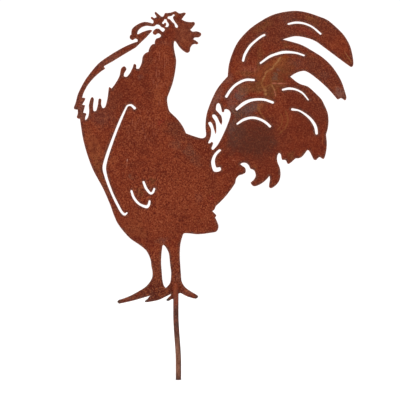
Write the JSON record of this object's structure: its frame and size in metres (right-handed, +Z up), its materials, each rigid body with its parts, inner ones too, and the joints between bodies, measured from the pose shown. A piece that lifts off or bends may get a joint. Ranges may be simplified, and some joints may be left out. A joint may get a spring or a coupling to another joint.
{
  "type": "garden stake sculpture",
  "caption": "Crowing rooster silhouette cut from rusted sheet steel, with cut-through feather strokes, welded to a round-bar ground spike.",
  "frame": {"origin": "on the bar's axis at the soil line, where the spike goes into the ground", "axes": "+Z up, +X towards the tail, the front face of the sheet towards -Y"},
  "size_m": [0.3496, 0.0087, 0.461],
  "materials": {
    "rusted_sheet": "even brown-red rust, matt",
    "rusted_bar": "dark plum-brown rust, matt",
    "rusted_weld": "rusted weld metal, matt"
  },
  "bodies": {
    "root": {"rooster_sheet": "rusted_sheet", "ground_spike": "rusted_bar", "weld_bead": "rusted_weld"}
  },
  "joints": []
}
